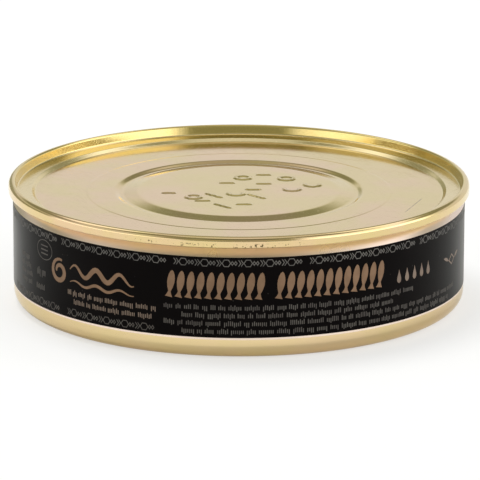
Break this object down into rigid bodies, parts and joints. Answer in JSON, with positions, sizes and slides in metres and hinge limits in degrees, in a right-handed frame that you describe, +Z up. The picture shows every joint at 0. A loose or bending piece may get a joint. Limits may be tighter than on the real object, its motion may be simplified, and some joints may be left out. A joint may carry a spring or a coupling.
{
  "type": "tin of sprats",
  "caption": "Shut flat round fish tin of gold-lacquered tinplate: drawn body, lid held by a double seam, and a printed label wrapped round the wall.",
  "frame": {"origin": "middle of the stand ring's plane, under the tin's axis", "axes": "+Z up along the tin's axis, from the stand ring to the lid; -Y towards the label's front"},
  "size_m": [0.1023, 0.1022, 0.0272],
  "materials": {
    "gold_tinplate": "gold lacquer, gloss",
    "gold_tinplate_lid": "gold lacquer, gloss",
    "printed_label": "satin black print"
  },
  "bodies": {
    "root": {"tin_body": "gold_tinplate", "lid": "gold_tinplate_lid", "label": "printed_label"}
  },
  "joints": []
}
